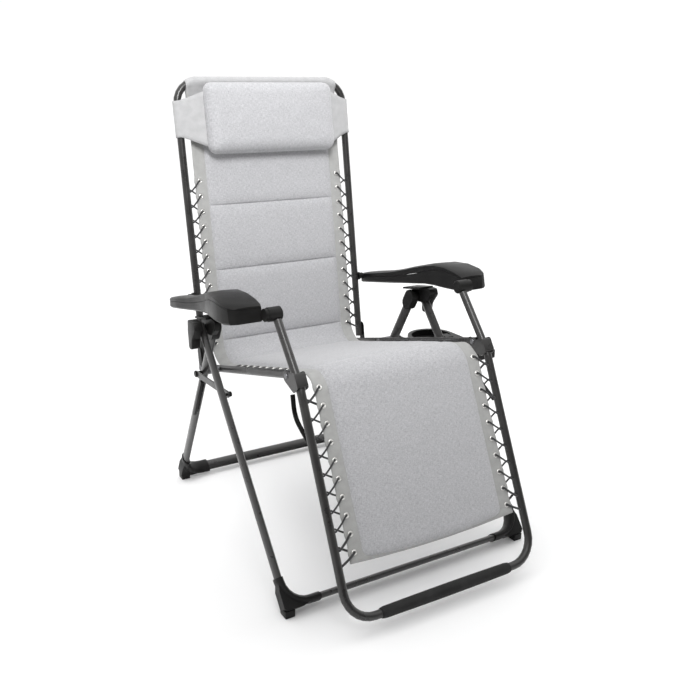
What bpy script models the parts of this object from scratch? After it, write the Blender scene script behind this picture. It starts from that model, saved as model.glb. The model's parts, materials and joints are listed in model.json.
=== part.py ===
"""Padded zero-gravity folding chair: an A-frame that carries a reclining seat, back and leg rest.

The chair faces -Y and stands on Z = 0. Side-view places are (y, z) pairs. "left" parts lie at +X.
"""
import math

import bmesh
import bpy
from mathutils import Matrix, Vector

# Where the chair's own centre line and hub lie, so that the whole object's box is centred on the origin.
CHAIR_X = -0.0590
CHAIR_Y = 0.1279

# Side-view pivots
HUB = (0.0, 0.5417)
SEAT_PIVOT = (0.0886, 0.3958)
HIP_PIVOT = (0.2057, 0.3649)
KNEE_PIVOT = (-0.333, 0.5068)
ARM_REAR_PIVOT = (0.2331, 0.556)
ARM_FRONT_PIVOT = (-0.262, 0.625)
STAY_PIVOT = (-0.115, 0.4035)
LEVER_PIVOT = (0.006, 0.5465)

# Side-view ends of the frames
FRONT_FLOOR = (-0.4324, 0.022)
REAR_FLOOR = (0.3155, 0.022)
BACK_TOP = (0.312, 1.10)
LEGREST_BEND = (-0.372, 0.4925)
LEGREST_END = (-0.5773, 0.0401)

# Half widths, from the centre line to each tube's axis
FRONT_LEG_X = 0.3217
REAR_LEG_X = 0.2875
BACK_X = 0.243
LEGREST_X = 0.2482
RAIL_X = 0.2435

# Tubes
TUBE_R = 0.0095
LEG_TUBE_R = 0.0075
LEG_TUBE_STRETCH = 2.15
RAIL_R = 0.006
RAIL_STRETCH = 1.55
BEND_R = 0.055
HUB_ABOVE = 0.003
BOSS_R = 0.0160
ARM_INNER_X = 0.2680
STAY_X = 0.3062

# Armrest sections from rear to front: distance from the hub, outer X, underside, split and top heights
ARM_SECTIONS = [
    (0.245, 0.3200, 0.5340, 0.5500, 0.5580), (0.238, 0.3210, 0.5350, 0.5520, 0.5630),
    (0.215, 0.3225, 0.5390, 0.5565, 0.5690), (0.170, 0.3225, 0.5470, 0.5650, 0.5785),
    (0.120, 0.3210, 0.5560, 0.5735, 0.5890), (0.070, 0.3200, 0.5650, 0.5840, 0.6010),
    (0.020, 0.3215, 0.5745, 0.5970, 0.6155), (-0.030, 0.3270, 0.5835, 0.6105, 0.6310),
    (-0.080, 0.3370, 0.5930, 0.6255, 0.6450), (-0.120, 0.3450, 0.5970, 0.6370, 0.6535),
    (-0.165, 0.3510, 0.5990, 0.6430, 0.6560), (-0.205, 0.3520, 0.6030, 0.6410, 0.6520),
    (-0.228, 0.3480, 0.6060, 0.6385, 0.6465), (-0.237, 0.3400, 0.6070, 0.6360, 0.6410)]

# Sling, padding and elastic cord
SLING_X = 0.212
PAD_THICK = 0.020
EYELET_PITCH = 0.0392
CORD_R = 0.0016

GAP = 0.0003
SIDES = {"left": 1, "right": -1}

FINISHES = {
    "powder_coat": ((0.045, 0.045, 0.047), 0.38, 0.35),
    "black_plastic": ((0.020, 0.020, 0.021), 0.42, 0.0),
    "grey_steel": ((0.30, 0.30, 0.31), 0.35, 0.9),
    "black_foam": ((0.025, 0.025, 0.026), 0.85, 0.0),
    "black_cord": ((0.018, 0.018, 0.019), 0.75, 0.0),
    "melange_fabric": ((0.55, 0.55, 0.57), 0.9, 0.0),
    "plain_fabric": ((0.48, 0.48, 0.49), 0.85, 0.0),
}


def clear_scene():
    """Start from an empty scene."""
    for obj in list(bpy.data.objects):
        bpy.data.objects.remove(obj, do_unlink=True)


def collection(name):
    """A new collection in the scene."""
    made = bpy.data.collections.new(name)
    bpy.context.scene.collection.children.link(made)
    return made


def finish(obj, kind):
    """Give an object its own material of one of the finishes."""
    color, roughness, metallic = FINISHES[kind]
    mat = bpy.data.materials.new(f"{obj.name}_{kind}")
    mat.use_nodes = True
    shader = mat.node_tree.nodes["Principled BSDF"]
    shader.inputs["Base Color"].default_value = (*color, 1)
    shader.inputs["Roughness"].default_value = roughness
    shader.inputs["Metallic"].default_value = metallic
    obj.data.materials.clear()
    obj.data.materials.append(mat)
    return obj


def unit(start, end):
    """Side-view direction from one (y, z) place to another."""
    run = Vector((end[0] - start[0], end[1] - start[1]))
    return run / run.length


def span(start, end):
    """Side-view distance."""
    return math.dist(start, end)


def along(start, end, distance, proud=0.0):
    """Place on the side-view line from start to end, moved proud to the line's front or upper side."""
    way = unit(start, end)
    return (start[0] + way.x * distance - way.y * proud,
            start[1] + way.y * distance + way.x * proud)


# Where each stay meets its rear leg, and where the headrest rides on the back
STAY_PIN = along(HUB, REAR_FLOOR, 0.1745)
HEADREST = along(HIP_PIVOT, BACK_TOP, 0.647)


def plane_matrix(start, end, stretch=1.0):
    """Local X is world X, local Y runs from start to end in the side view."""
    way = unit(start, end)
    return Matrix((
        (1, 0, 0, 0),
        (0, way.x, -way.y * stretch, start[0]),
        (0, way.y, way.x * stretch, start[1]),
        (0, 0, 0, 1)))


def rounded_path(corners, radii, steps=6):
    """Straight runs through the corners, each inner corner rounded by an arc of its radius."""
    corners = [Vector(corner) for corner in corners]
    path = [corners[0]]
    for before, corner, after, radius in zip(corners, corners[1:], corners[2:], radii):
        back = (before - corner).normalized()
        onward = (after - corner).normalized()
        half = back.angle(onward) / 2
        centre = corner + (back + onward).normalized() * (radius / math.sin(half))
        first = corner + back * (radius / math.tan(half)) - centre
        last = corner + onward * (radius / math.tan(half)) - centre
        turn = first.angle(last)
        for step in range(steps + 1):
            part = step / steps
            blend = first * math.sin((1 - part) * turn) + last * math.sin(part * turn)
            path.append(centre + blend / math.sin(turn))
    path.append(corners[-1])
    return path


def tube(name, path, radius, matrix=None, resolution=5):
    """A capped round tube through the points; a stretched matrix makes it oval."""
    curve = bpy.data.curves.new(name, "CURVE")
    curve.dimensions = "3D"
    curve.bevel_depth = radius
    curve.bevel_resolution = resolution
    curve.use_fill_caps = True
    spline = curve.splines.new("POLY")
    spline.points.add(len(path) - 1)
    for point, place in zip(spline.points, path):
        point.co = (*place, 1)
    spline.use_smooth = True
    obj = bpy.data.objects.new(name, curve)
    if matrix is not None:
        obj.matrix_world = matrix
    PARTS.objects.link(obj)
    return obj


def as_mesh(obj):
    """Replace a curve object by its welded mesh, with its place applied."""
    bpy.context.view_layer.update()
    graph = bpy.context.evaluated_depsgraph_get()
    mesh = bpy.data.meshes.new_from_object(obj.evaluated_get(graph))
    mesh.transform(obj.matrix_world)
    build = bmesh.new()
    build.from_mesh(mesh)
    bmesh.ops.remove_doubles(build, verts=build.verts, dist=0.00001)
    bmesh.ops.recalc_face_normals(build, faces=build.faces)
    build.to_mesh(mesh)
    build.free()
    name = obj.name
    bpy.data.objects.remove(obj, do_unlink=True)
    mesh.name = name
    made = bpy.data.objects.new(name, mesh)
    PARTS.objects.link(made)
    return smooth(made)


def smooth(obj, degrees=35):
    """Shade smooth, with edges sharper than the angle kept."""
    obj.data.shade_smooth()
    obj.data.set_sharp_from_angle(angle=math.radians(degrees))
    return obj


def side_plate(name, outline, inner, outer, side=1, holes=(), rounding=0.004):
    """A flat plate with a side-view outline, from inner to outer distance off the centre line."""
    curve = bpy.data.curves.new(name, "CURVE")
    curve.dimensions = "2D"
    curve.fill_mode = "BOTH"
    curve.extrude = (outer - inner) / 2
    corners = [(*place, 0) for place in outline]
    if rounding:
        corners = rounded_path([corners[-1], *corners, corners[0]], [rounding] * len(corners), 4)[1:-1]
    loops = [corners]
    for centre, radius in holes:
        loops.append([(centre[0] + radius * math.cos(step * math.tau / 14),
                       centre[1] + radius * math.sin(step * math.tau / 14), 0) for step in range(14)])
    for loop in loops:
        spline = curve.splines.new("POLY")
        spline.use_cyclic_u = True
        spline.points.add(len(loop) - 1)
        for point, place in zip(spline.points, loop):
            point.co = (*place, 1)
    obj = bpy.data.objects.new(name, curve)
    middle = side * (inner + outer) / 2
    obj.matrix_world = Matrix(((0, 0, 1, middle), (1, 0, 0, 0), (0, 1, 0, 0), (0, 0, 0, 1)))
    PARTS.objects.link(obj)
    return as_mesh(obj)


def capsule(start, end, radius, steps=8):
    """Side-view outline of a bar with round ends."""
    heading = math.atan2(end[1] - start[1], end[0] - start[0])
    outline = []
    for centre, base in ((end, heading - math.pi / 2), (start, heading + math.pi / 2)):
        for step in range(steps + 1):
            angle = base + math.pi * step / steps
            outline.append((centre[0] + radius * math.cos(angle), centre[1] + radius * math.sin(angle)))
    return outline


def turned(name, place, side, stations):
    """A turned pin on an X axis through a side-view place; stations are (distance off centre line, radius)."""
    profile = bmesh.new()
    outline = [(0.0, stations[-1][0])]
    outline += [(radius, distance) for distance, radius in reversed(stations)]
    outline.append((0.0, stations[0][0]))
    verts = [profile.verts.new((radius, 0, distance)) for radius, distance in outline]
    for first, second in zip(verts, verts[1:]):
        profile.edges.new((first, second))
    mesh = bpy.data.meshes.new(name)
    profile.to_mesh(mesh)
    profile.free()
    obj = bpy.data.objects.new(name, mesh)
    turn = Matrix(((0, 0, side, 0), (side, 0, 0, place[0]), (0, 1, 0, place[1]), (0, 0, 0, 1)))
    obj.matrix_world = turn
    screw = obj.modifiers.new("turn", "SCREW")
    screw.axis = "Z"
    screw.steps = 14
    screw.render_steps = 14
    screw.use_merge_vertices = True
    screw.merge_threshold = 0.00005
    screw.use_smooth_shade = True
    PARTS.objects.link(obj)
    return obj


def box_between(name, low, high, bevel=0.0, segments=2):
    """A box from its lowest to its highest corner, with rounded edges."""
    build = bmesh.new()
    bmesh.ops.create_cube(build, size=1.0)
    size = [top - bottom for bottom, top in zip(low, high)]
    middle = [(top + bottom) / 2 for bottom, top in zip(low, high)]
    bmesh.ops.scale(build, vec=size, verts=build.verts)
    bmesh.ops.translate(build, vec=middle, verts=build.verts)
    mesh = bpy.data.meshes.new(name)
    build.to_mesh(mesh)
    build.free()
    obj = bpy.data.objects.new(name, mesh)
    PARTS.objects.link(obj)
    if bevel:
        rounding = obj.modifiers.new("rounding", "BEVEL")
        rounding.width = bevel
        rounding.segments = segments
    return smooth(obj)


def boolean(obj, tool, operation="DIFFERENCE"):
    """Cut or join with a tool, which becomes a hidden cutter."""
    step = obj.modifiers.new(operation.lower(), "BOOLEAN")
    step.operation = operation
    step.object = tool
    step.solver = "EXACT"
    PARTS.objects.unlink(tool)
    CUTTERS.objects.link(tool)
    tool.hide_render = True
    tool.display_type = "WIRE"
    return obj


def joined(objects, name):
    """Several separate closed meshes as one object, used as a cutter."""
    build = bmesh.new()
    for obj in objects:
        obj.data.transform(obj.matrix_world)
        build.from_mesh(obj.data)
        bpy.data.objects.remove(obj, do_unlink=True)
    mesh = bpy.data.meshes.new(name)
    build.to_mesh(mesh)
    build.free()
    obj = bpy.data.objects.new(name, mesh)
    PARTS.objects.link(obj)
    return obj


def cross_drill(name, places, radius):
    """Round cutters on X axes, long enough for both sides of the chair."""
    drills = []
    for number, place in enumerate(places):
        build = bmesh.new()
        bmesh.ops.create_cone(build, cap_ends=True, segments=16, radius1=radius, radius2=radius, depth=1.0,
                              matrix=Matrix.Rotation(math.pi / 2, 4, "Y"))
        bmesh.ops.translate(build, vec=(0, *place), verts=build.verts)
        mesh = bpy.data.meshes.new(f"{name}_{number}")
        build.to_mesh(mesh)
        build.free()
        drill = bpy.data.objects.new(mesh.name, mesh)
        PARTS.objects.link(drill)
        drills.append(drill)
    return joined(drills, name)


def slab(name, outline, low, high, matrix=None):
    """A flat plate with an (x, y) outline between two heights, laid in place by a matrix."""
    build = bmesh.new()
    bottom, top = ([build.verts.new((x, y, z)) for x, y in outline] for z in (low, high))
    build.faces.new(bottom)
    build.faces.new(top)
    for number in range(len(outline)):
        build.faces.new((bottom[number - 1], bottom[number], top[number], top[number - 1]))
    bmesh.ops.recalc_face_normals(build, faces=build.faces)
    mesh = bpy.data.meshes.new(name)
    build.to_mesh(mesh)
    build.free()
    obj = bpy.data.objects.new(name, mesh)
    if matrix is not None:
        obj.matrix_world = matrix
    PARTS.objects.link(obj)
    return obj


def ribbon(name, places, side, inner, outer, thick):
    """A flat strip that follows side-view places, from inner to outer distance off the centre line."""
    build = bmesh.new()
    rows = [[build.verts.new((side * x, *place)) for x in (inner, outer)] for place in places]
    for before, after in zip(rows, rows[1:]):
        build.faces.new((before[0], before[1], after[1], after[0]))
    mesh = bpy.data.meshes.new(name)
    build.to_mesh(mesh)
    build.free()
    obj = bpy.data.objects.new(name, mesh)
    solid = obj.modifiers.new("thickness", "SOLIDIFY")
    solid.thickness = thick
    solid.offset = 0
    PARTS.objects.link(obj)
    return obj


# ---- leg frames -------------------------------------------------------------------------------------

def leg_path(half_width, start, floor, above):
    """In-plane path of a U-shaped leg frame, from above one hub, along the floor, to above the other."""
    length = span(start, floor)
    corners = [(-half_width, -above, 0), (-half_width, length, 0), (half_width, length, 0),
               (half_width, -above, 0)]
    return rounded_path(corners, [BEND_R, BEND_R])


def leg_frame(name, half_width, floor, above, mark):
    """One U-shaped frame of flattened tube."""
    path = leg_path(half_width, HUB, floor, above)
    frame = tube(name, path, LEG_TUBE_R, plane_matrix(HUB, floor, LEG_TUBE_STRETCH))
    return finish(frame, mark)


def corner_foot(name, side, half_width, floor, up_leg, along_bar):
    """A moulded foot round a bottom corner of a leg frame: a squared web and a small heel on the ground."""
    length = span(HUB, floor)

    def sleeve(label, radius, longer):
        corners = [(side * half_width, length - up_leg - longer, 0), (side * half_width, length, 0),
                   (side * (half_width - along_bar - longer), length, 0)]
        matrix = plane_matrix(HUB, floor, LEG_TUBE_STRETCH)
        return as_mesh(tube(label, rounded_path(corners, [BEND_R]), radius, matrix))

    edge, reach, depth = 0.0105, 0.055, 0.0145
    web = [(half_width + edge, length - 0.034), (half_width + edge, length + 0.004),
           (half_width + 0.004, length + edge), (half_width - 0.034, length + edge),
           (half_width - reach, length + 0.004), (half_width - reach + 0.003, length - 0.004),
           (half_width - 0.018, length - 0.018), (half_width - 0.004, length - reach + 0.003),
           (half_width + 0.004, length - reach)]
    web = slab(f"{name}_web", [(side * x, y) for x, y in web], -depth, depth, plane_matrix(HUB, floor))
    low_x, high_x = sorted((side * (half_width + 0.009), side * (half_width - 0.015)))
    foot = sleeve(name, LEG_TUBE_R + 0.0023, 0)
    sole = box_between(f"{name}_sole", (low_x, floor[0] - 0.014, 0.0), (high_x, floor[0] + 0.014, 0.018), 0.002)
    ground = box_between(f"{name}_ground", (low_x - 0.1, floor[0] - 0.1, -0.05),
                         (high_x + 0.1, floor[0] + 0.1, 0.0))
    boolean(foot, web, "UNION")
    boolean(foot, sole, "UNION")
    boolean(foot, sleeve(f"{name}_bore", LEG_TUBE_R + GAP, 0.02))
    boolean(foot, ground)
    return finish(foot, "black_plastic")


def hub_cap(name, side):
    """Plastic cap over the top end of a rear leg, with a boss that faces the front leg."""
    outline = capsule(along(HUB, REAR_FLOOR, 0.002), along(HUB, REAR_FLOOR, 0.026), 0.0185)
    cap = side_plate(name, outline, REAR_LEG_X - 0.0105, REAR_LEG_X + 0.0105, side, rounding=0)
    matrix = plane_matrix(HUB, REAR_FLOOR, LEG_TUBE_STRETCH)
    bore = [(side * REAR_LEG_X, -HUB_ABOVE - GAP, 0), (side * REAR_LEG_X, 0.2, 0)]
    boolean(cap, as_mesh(tube(f"{name}_bore", bore, LEG_TUBE_R + GAP, matrix)))
    return finish(cap, "black_plastic")


def rear_assembly():
    """The frame that stands behind: it carries the hubs, the seat pivots and the catch strips."""
    made = [leg_frame("rear_leg_frame", REAR_LEG_X, REAR_FLOOR, HUB_ABOVE, "powder_coat")]
    for word, side in SIDES.items():
        made.append(corner_foot(f"rear_foot_{word}", side, REAR_LEG_X, REAR_FLOOR, 0.060, 0.075))
        made.append(hub_cap(f"hub_cap_{word}", side))
        spacer = turned(f"seat_pivot_{word}", SEAT_PIVOT, side, [
            (RAIL_X - RAIL_R - 0.0036, 0.007), (RAIL_X - RAIL_R - 2 * GAP, 0.007),
            (RAIL_X - RAIL_R - 2 * GAP, 0.0035), (RAIL_X + RAIL_R + GAP, 0.0035),
            (RAIL_X + RAIL_R + GAP, 0.009), (REAR_LEG_X - LEG_TUBE_R - GAP, 0.009)])
        made.append(finish(spacer, "grey_steel"))
        guard_path = [along(HUB, REAR_FLOOR, reach, -0.0165) for reach in (0.190, 0.318)]
        guard = side_plate(f"leg_guard_{word}", capsule(*guard_path, 0.0045),
                           REAR_LEG_X + LEG_TUBE_R + GAP, REAR_LEG_X + LEG_TUBE_R + 0.0075, side, rounding=0)
        made.append(finish(guard, "black_plastic"))
    return made


def front_assembly():
    """The frame that stands in front and closes onto the rear one."""
    made = [leg_frame("front_leg_frame", FRONT_LEG_X, FRONT_FLOOR, HUB_ABOVE, "powder_coat")]
    for word, side in SIDES.items():
        made.append(corner_foot(f"front_foot_{word}", side, FRONT_LEG_X, FRONT_FLOOR, 0.062, 0.078))
        bolt = turned(f"stay_bolt_{word}", STAY_PIVOT, side, [
            (STAY_X - 0.0070, 0.0055), (STAY_X - 0.0042, 0.0065), (STAY_X - GAP, 0.0065), (STAY_X - GAP, 0.0032),
            (FRONT_LEG_X - LEG_TUBE_R - GAP, 0.0032)])
        made.append(finish(bolt, "black_plastic"))
    return made


def stay(word, side):
    """Flat stay between the legs, with the round-headed pin that runs down the rear leg."""
    outer = STAY_X + 0.0033
    bar = side_plate(f"stay_{word}", capsule(STAY_PIVOT, STAY_PIN, 0.0080), STAY_X, outer, side,
                     holes=((STAY_PIVOT, 0.0036), (STAY_PIN, 0.0036)), rounding=0)
    pin = turned(f"stay_pin_{word}", STAY_PIN, side, [
        (REAR_LEG_X + LEG_TUBE_R + GAP, 0.0062), (STAY_X - GAP, 0.0062), (STAY_X - GAP, 0.0032),
        (outer + GAP, 0.0032), (outer + GAP, 0.0085), (outer + 0.0024, 0.0085), (outer + 0.0038, 0.0070)])
    return [finish(bar, "powder_coat"), finish(pin, "black_plastic")]


# ---- seat unit --------------------------------------------------------------------------------------

def seat_rail(name, side):
    """Flattened tube under one edge of the seat, drilled for its three pivots."""
    length = span(HIP_PIVOT, KNEE_PIVOT)
    path = [(side * RAIL_X, -0.014, 0), (side * RAIL_X, length + 0.0075, 0)]
    rail = as_mesh(tube(name, path, RAIL_R, plane_matrix(HIP_PIVOT, KNEE_PIVOT, RAIL_STRETCH)))
    boolean(rail, cross_drill(f"{name}_drill", (HIP_PIVOT, SEAT_PIVOT, KNEE_PIVOT), 0.0039))
    return finish(rail, "powder_coat")


def pad(name, start, end, first, last, proud=0.002, kind="melange_fabric"):
    """A plain slab in the plane of two side-view places, between two distances along it."""
    slab = box_between(name, (-SLING_X, first, proud - PAD_THICK / 2), (SLING_X, last, proud + PAD_THICK / 2), 0.007)
    slab.matrix_world = plane_matrix(start, end)
    return finish(slab, kind)


def lacing(name, side, start, end, tube_x, first, count, pitch, half_tube):
    """Elastic cord that zigzags between the sling's eyelets and the inner face of a frame tube."""
    reach = tube_x - half_tube - CORD_R - GAP
    path = []
    for number in range(count):
        place = first + number * pitch
        path.append((side * (SLING_X + 0.0035), place, 0.0))
        if number < count - 1:
            path.append((side * reach, place + 0.45 * pitch, 0.0))
            path.append((side * reach, place + 0.62 * pitch, 0.0))
    cord = tube(name, path, CORD_R, plane_matrix(start, end), 1)
    return finish(cord, "black_cord")


def seat_unit():
    """Rails, seat sling and its lacing."""
    made = []
    length = span(HIP_PIVOT, KNEE_PIVOT)
    for word, side in SIDES.items():
        made.append(seat_rail(f"seat_rail_{word}", side))
        made.append(lacing(f"seat_lacing_{word}", side, HIP_PIVOT, KNEE_PIVOT, RAIL_X, 0.168, 9, EYELET_PITCH,
                           RAIL_R))
    made.append(pad("seat_pad", HIP_PIVOT, KNEE_PIVOT, 0.040, length - 0.005, -0.004))
    return made


def back_unit():
    """Back frame, its hinge plates, the armrest pivots, the back sling and its lacing."""
    length = span(HIP_PIVOT, BACK_TOP)
    corners = [(-BACK_X, 0.0165, 0), (-BACK_X, length, 0), (BACK_X, length, 0), (BACK_X, 0.0165, 0)]
    path = rounded_path(corners, [BEND_R, BEND_R])
    made = [finish(tube("back_frame", path, TUBE_R, plane_matrix(HIP_PIVOT, BACK_TOP)), "powder_coat")]
    face = BACK_X + TUBE_R + GAP
    for word, side in SIDES.items():
        plate = side_plate(f"hip_plate_{word}", capsule(HIP_PIVOT, along(HIP_PIVOT, BACK_TOP, 0.045), 0.0115),
                           face, face + 0.0025, side, holes=((HIP_PIVOT, 0.0039),), rounding=0)
        made.append(finish(plate, "black_plastic"))
        bolt = turned(f"hip_bolt_{word}", HIP_PIVOT, side, [
            (RAIL_X - RAIL_R - 0.0036, 0.007), (RAIL_X - RAIL_R - GAP, 0.007), (RAIL_X - RAIL_R - GAP, 0.0035),
            (face + 0.0028, 0.0035), (face + 0.0028, 0.0075), (face + 0.0062, 0.006)])
        made.append(finish(bolt, "grey_steel"))
        pivot = turned(f"arm_rear_pivot_{word}", ARM_REAR_PIVOT, side, [
            (face, 0.0115), (face + 0.0045, 0.0115), (face + 0.0045, 0.009), (ARM_INNER_X - GAP, 0.009)])
        made.append(finish(pivot, "black_plastic"))
        made.append(lacing(f"back_lacing_{word}", side, HIP_PIVOT, BACK_TOP, BACK_X, 0.061, 12, EYELET_PITCH,
                           TUBE_R))
    made.append(pad("back_pad", HIP_PIVOT, BACK_TOP, 0.030, length - 0.016, 0.004))
    return made


def headrest():
    """Pillow on the upper back and the band that holds it round the frame."""
    build = bmesh.new()
    bmesh.ops.create_cube(build, size=1.0)
    bmesh.ops.subdivide_edges(build, edges=build.edges, cuts=2, use_grid_fill=True)
    bmesh.ops.scale(build, vec=(0.384, 0.188, 0.062), verts=build.verts)
    bmesh.ops.translate(build, vec=(0, 0.647, 0.046), verts=build.verts)
    mesh = bpy.data.meshes.new("headrest_pillow")
    build.to_mesh(mesh)
    build.free()
    pillow = bpy.data.objects.new("headrest_pillow", mesh)
    pillow.matrix_world = plane_matrix(HIP_PIVOT, BACK_TOP)
    rounding = pillow.modifiers.new("rounding", "SUBSURF")
    rounding.levels = 1
    rounding.render_levels = 1
    PARTS.objects.link(pillow)
    finish(smooth(pillow), "melange_fabric")

    loop = TUBE_R + 0.0016
    around = [Vector((0.2035, 0.030, 0))]
    for step in range(11):
        angle = math.radians(75 - 16.5 * step)
        around.append(Vector((BACK_X + loop * math.cos(angle), loop * math.sin(angle), 0)))
    mirrored = [Vector((-place.x, place.y, 0)) for place in reversed(around)]
    build = bmesh.new()
    rows = [[build.verts.new((place.x, height, place.y)) for height in (0.592, 0.702)]
            for place in around + mirrored]
    for before, after in zip(rows, rows[1:]):
        build.faces.new((before[0], before[1], after[1], after[0]))
    mesh = bpy.data.meshes.new("headrest_band")
    build.to_mesh(mesh)
    build.free()
    band = bpy.data.objects.new("headrest_band", mesh)
    band.matrix_world = plane_matrix(HIP_PIVOT, BACK_TOP)
    solid = band.modifiers.new("thickness", "SOLIDIFY")
    solid.thickness = 0.0014
    solid.offset = 0
    PARTS.objects.link(band)
    finish(band, "plain_fabric")
    return [pillow, band]


def knee_bracket(name, side):
    """Pressed channel round the leg-rest tube; the rail's end turns between its two cheeks."""
    middle = (-0.3645, 0.5035)
    down = Vector((-0.535, -0.845)).normalized()
    rear = Vector((-down.y, down.x))

    def at(way, back):
        return (middle[0] + down.x * way + rear.x * back, middle[1] + down.y * way + rear.y * back)

    web = TUBE_R + 0.0028
    outline = [at(-0.017, -web - 0.0014), at(-0.019, 0.012), (-0.317, 0.5190), (-0.3205, 0.4945), at(0.022, 0.012),
               at(0.020, -web - 0.0014)]
    channel = side_plate(name, outline, LEGREST_X - TUBE_R - 0.0045, LEGREST_X + TUBE_R + 0.0028, side,
                         holes=((KNEE_PIVOT, 0.0039),), rounding=0.0075)
    hollow = [at(-0.05, -web), at(-0.05, 0.08), at(0.06, 0.08), at(0.06, -web)]
    boolean(channel, side_plate(f"{name}_hollow", hollow, LEGREST_X - TUBE_R - 0.0022,
                                LEGREST_X + TUBE_R + 2 * GAP, side, rounding=0.001))
    return finish(channel, "powder_coat")


def leg_rest_unit():
    """Leg-rest frame with its brackets, straps, foot-bar sleeve, armrest bosses, sling and lacing."""
    end = along(ARM_FRONT_PIVOT, LEGREST_BEND, BOSS_R + GAP)
    side_path = [end, LEGREST_BEND, LEGREST_END]
    corners = [(-LEGREST_X, *place) for place in side_path] + [(LEGREST_X, *place) for place in reversed(side_path)]
    path = rounded_path(corners, [0.16, 0.062, 0.062, 0.16], 7)
    made = [finish(tube("leg_rest_frame", path, TUBE_R), "powder_coat")]
    half_bar = 0.172
    bar = [(-half_bar, *LEGREST_END), (half_bar, *LEGREST_END)]
    bore = [(-half_bar - 0.02, *LEGREST_END), (half_bar + 0.02, *LEGREST_END)]
    sleeve = as_mesh(tube("foot_bar_sleeve", bar, TUBE_R + 0.0032))
    boolean(sleeve, as_mesh(tube("foot_bar_sleeve_bore", bore, TUBE_R + GAP)))
    made.append(finish(sleeve, "black_foam"))
    for word, side in SIDES.items():
        made.append(knee_bracket(f"knee_bracket_{word}", side))
        inner = LEGREST_X - TUBE_R - 0.0045
        outer = LEGREST_X + TUBE_R + 0.0028
        rivet = turned(f"knee_rivet_{word}", KNEE_PIVOT, side, [
            (inner - 0.0025, 0.0055), (inner - GAP, 0.0065), (inner - GAP, 0.0035), (outer + GAP, 0.0035),
            (outer + GAP, 0.0065), (outer + 0.0025, 0.0055)])
        made.append(finish(rivet, "grey_steel"))
        bow = rounded_path([(-0.3365, 0.4640, 0), (-0.3440, 0.4150, 0), (-0.4085, 0.3795, 0)], [0.05], 8)
        strap = ribbon(f"knee_strap_{word}", [place.to_2d() for place in bow], side, LEGREST_X - 0.005,
                       LEGREST_X + 0.005, 0.003)
        made.append(finish(strap, "black_plastic"))
        boss = turned(f"arm_front_boss_{word}", ARM_FRONT_PIVOT, side, [
            (LEGREST_X - 0.0130, BOSS_R - 0.0035), (LEGREST_X - 0.0105, BOSS_R), (ARM_INNER_X - 2 * GAP, BOSS_R)])
        made.append(finish(boss, "black_plastic"))
        made.append(lacing(f"leg_lacing_{word}", side, LEGREST_BEND, LEGREST_END, LEGREST_X, 0.012, 10,
                           0.0386, TUBE_R))
    made.append(pad("leg_pad", LEGREST_BEND, LEGREST_END, 0.010, 0.374, -0.004))
    return made


# ---- armrests ---------------------------------------------------------------------------------------

def arm_loft(name, side, low_name, high_name):
    """A shell between two of the armrest's heights, with rounded long edges."""
    picks = {"under": 0, "split": 1, "top": 2}
    last = len(ARM_SECTIONS) - 1
    build = bmesh.new()
    loops = []
    for number, (reach, outer, *heights) in enumerate(ARM_SECTIONS):
        low, high = heights[picks[low_name]], heights[picks[high_name]]
        edge = 0.008 if number in (0, last) else (0.0025 if number in (1, last - 1) else 0.0)
        x_in, x_out = ARM_INNER_X + (edge if number == 0 else edge * 0.3), outer - edge
        if low_name == "split":
            low += 3 * GAP
            crown = min(0.0045, 0.6 * (high - low))
            ring = [(x_in, low), (x_out, low), (x_out, high - crown), (x_out - 0.006, high - 0.001),
                    ((x_in + x_out) / 2, high), (x_in + 0.006, high - 0.001), (x_in, high - crown)]
        else:
            ring = [(x_in + 0.004, low), (x_out - 0.004, low), (x_out, low + 0.004), (x_out, high), (x_in, high),
                    (x_in, low + 0.004)]
        lean = -0.012 if reach < -0.20 else 0.0
        loops.append([build.verts.new((side * x, reach + lean * (heights[2] - z) / 0.05, z)) for x, z in ring])
    for before, after in zip(loops, loops[1:]):
        for number in range(len(before)):
            following = (number + 1) % len(before)
            build.faces.new((before[number], before[following], after[following], after[number]))
    build.faces.new(loops[0])
    build.faces.new(loops[-1])
    bmesh.ops.recalc_face_normals(build, faces=build.faces)
    mesh = bpy.data.meshes.new(name)
    build.to_mesh(mesh)
    build.free()
    obj = bpy.data.objects.new(name, mesh)
    PARTS.objects.link(obj)
    return smooth(obj, 40)


def armrest(word, side):
    """Moulded armrest with its separate top cap."""
    base = finish(arm_loft(f"armrest_{word}", side, "under", "split"), "black_plastic")
    cap = finish(arm_loft(f"armrest_cap_{word}", side, "split", "top"), "black_plastic")
    return [base, cap]


def arm_carriage(word, side):
    """Slide plate under the armrest on a shield-shaped housing that turns about the hub between the legs."""
    plate_outline = [(0.032, 0.5560), (-0.044, 0.5690), (-0.044, 0.5737), (0.032, 0.5607)]
    housing_outline = [(0.020, 0.5590), (-0.042, 0.5700), (-0.066, 0.5700), (-0.070, 0.5620), (-0.060, 0.5440),
                       (-0.042, 0.5290), (-0.008, 0.5260), (0.014, 0.5350)]
    inner = REAR_LEG_X + LEG_TUBE_R + 0.0045
    outer = FRONT_LEG_X - LEG_TUBE_R - 2 * GAP
    carriage = side_plate(f"arm_carriage_{word}", plate_outline, 0.2780, 0.3250, side, rounding=0.0015)
    housing = side_plate(f"arm_carriage_{word}_housing", housing_outline, inner, outer, side, rounding=0.007)
    boolean(carriage, housing, "UNION")
    return finish(carriage, "black_plastic")


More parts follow.
